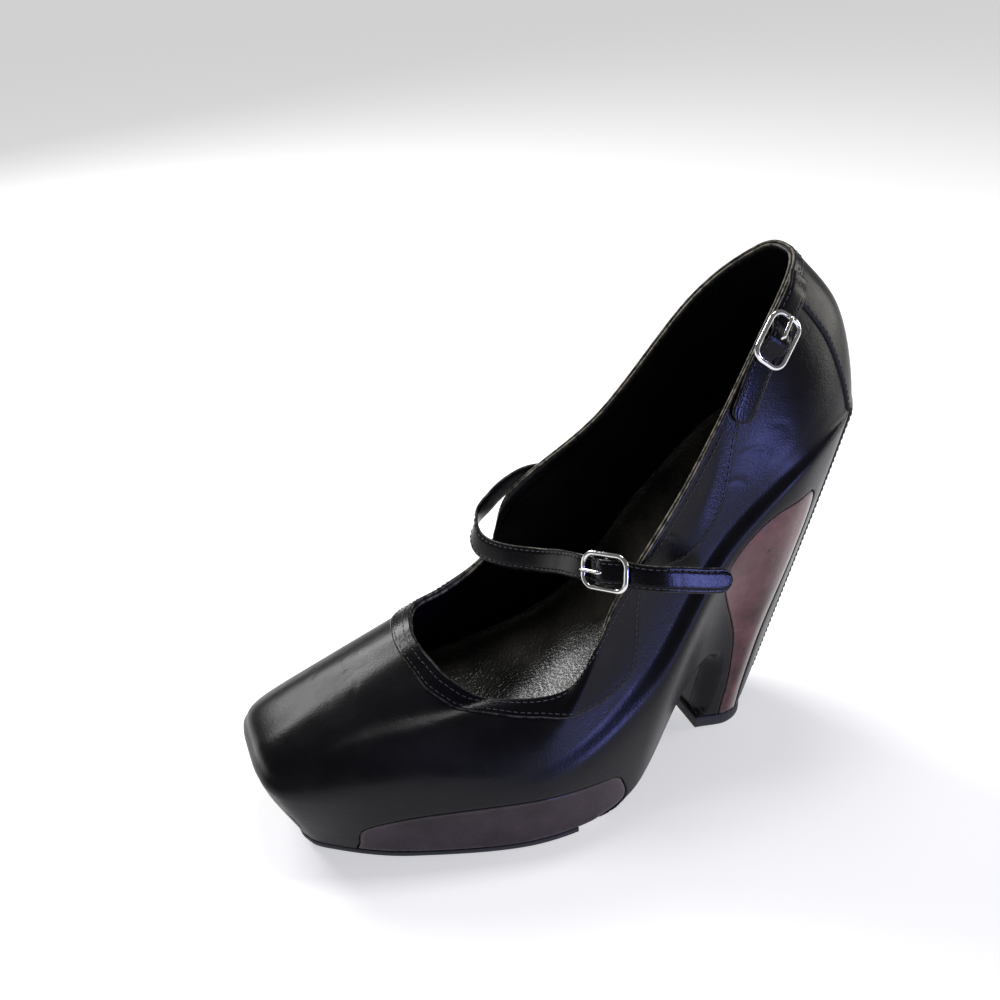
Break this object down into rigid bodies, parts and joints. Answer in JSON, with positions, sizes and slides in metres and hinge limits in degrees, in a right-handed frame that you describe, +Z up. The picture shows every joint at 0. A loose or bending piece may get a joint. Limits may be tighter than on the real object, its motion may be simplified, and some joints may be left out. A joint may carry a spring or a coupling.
{
  "type": "platform shoe",
  "caption": "Black leather platform shoe with a cut-out wedge heel, an instep strap and a heel strap, each with a metal buckle, and glossy inlaid plates.",
  "frame": {"origin": "on the floor under the middle of the shoe's box", "axes": "+Z up, -Y towards the toe, +X towards the outer (lateral) side"},
  "size_m": [0.0928, 0.2366, 0.189],
  "materials": {
    "upper_leather": "satin black leather",
    "trim_leather": "smooth glossy black leather",
    "insole_leather": "glossy grained black leather",
    "wedge_core": "plain moulded core, out of sight",
    "sole_rubber": "matt black rubber",
    "plate_gloss": "burgundy gloss, clouded with age",
    "buckle_metal": "polished, lightly worn"
  },
  "bodies": {
    "root": {"upper": "upper_leather", "wedge": "wedge_core", "insole": "insole_leather", "outsole": "sole_rubber", "top_lift": "sole_rubber", "arch_cover": "upper_leather", "collar_band": "trim_leather", "back_strip": "trim_leather", "heel_plate_lateral": "plate_gloss", "heel_plate_medial": "plate_gloss", "ball_plate_lateral": "plate_gloss", "ball_plate_medial": "plate_gloss", "instep_strap": "trim_leather", "instep_buckle": "buckle_metal", "instep_prong": "buckle_metal", "heel_strap": "trim_leather", "heel_buckle": "buckle_metal", "heel_prong": "buckle_metal"}
  },
  "joints": []
}
